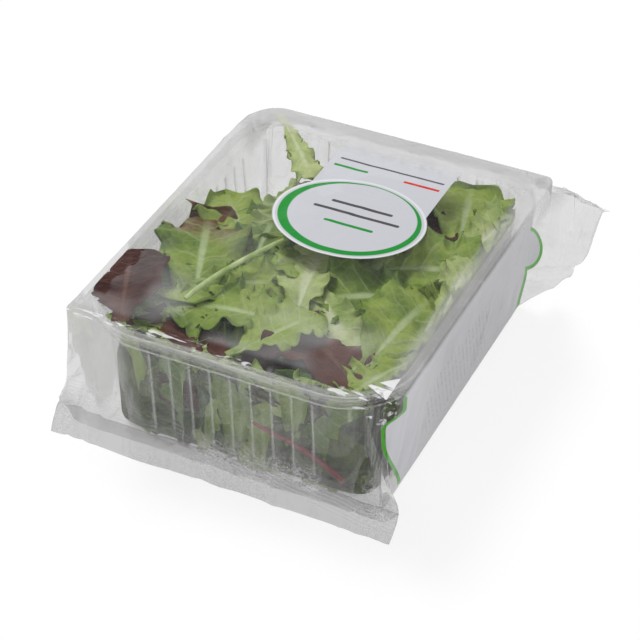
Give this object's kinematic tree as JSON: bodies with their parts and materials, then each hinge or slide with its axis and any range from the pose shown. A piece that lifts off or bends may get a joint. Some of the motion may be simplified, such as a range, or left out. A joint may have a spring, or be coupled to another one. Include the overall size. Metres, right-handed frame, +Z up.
{
  "type": "bag of salad leaves",
  "caption": "Mixed salad leaves heaped in a ribbed clear tray, sealed inside a clear film bag with a crimped seal at each end.",
  "frame": {"origin": "middle of the pack's outline seen from above, on the surface that it stands on", "axes": "+Z up, +Y from the front seal to the back seal, +X to the right seen from the front"},
  "size_m": [0.18, 0.235, 0.0724],
  "materials": {
    "clear_tray": "clear moulded plastic with upright ribs",
    "salad_leaves": "fresh green, pale and red-brown leaves",
    "clear_film": "thin clear film, glossy, with plain printed fields of colour"
  },
  "bodies": {
    "root": {"tray": "clear_tray", "salad": "salad_leaves", "bag": "clear_film"}
  },
  "joints": []
}
